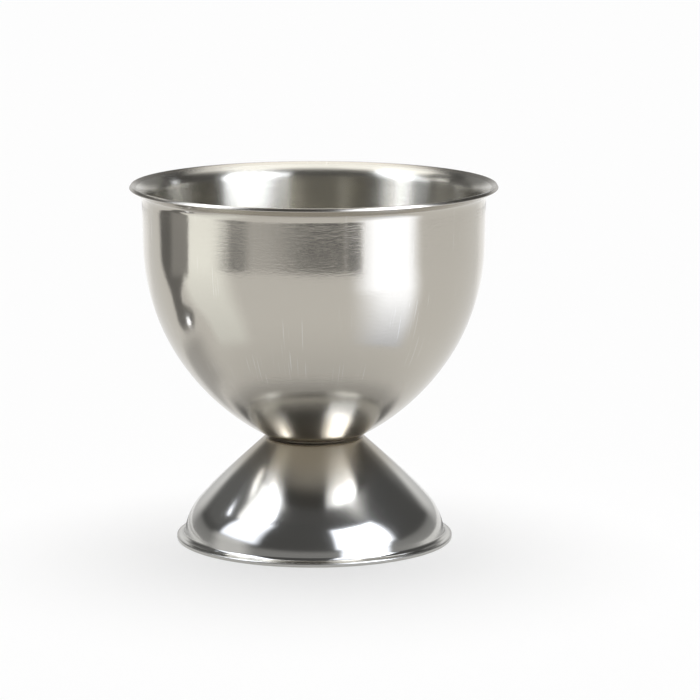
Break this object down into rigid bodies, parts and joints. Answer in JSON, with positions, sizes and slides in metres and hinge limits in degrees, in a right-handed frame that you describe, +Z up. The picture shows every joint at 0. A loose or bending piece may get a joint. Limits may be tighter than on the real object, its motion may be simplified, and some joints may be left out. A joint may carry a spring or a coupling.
{
  "type": "egg cup",
  "caption": "Footed egg cup pressed from stainless steel sheet: deep bowl with a turned-out lip, spot-welded to a low trumpet foot.",
  "frame": {"origin": "centre of the foot's rim, on the surface that the cup stands on", "axes": "+Z up along the cup's axis of revolution; +X and +Y are free, as the cup is round"},
  "size_m": [0.046, 0.046, 0.045],
  "materials": {
    "bowl_steel": "satin, brushed round the axis",
    "foot_steel": "polished",
    "weld_steel": "as welded"
  },
  "bodies": {
    "root": {"bowl": "bowl_steel", "foot": "foot_steel", "weld_nugget": "weld_steel"}
  },
  "joints": []
}
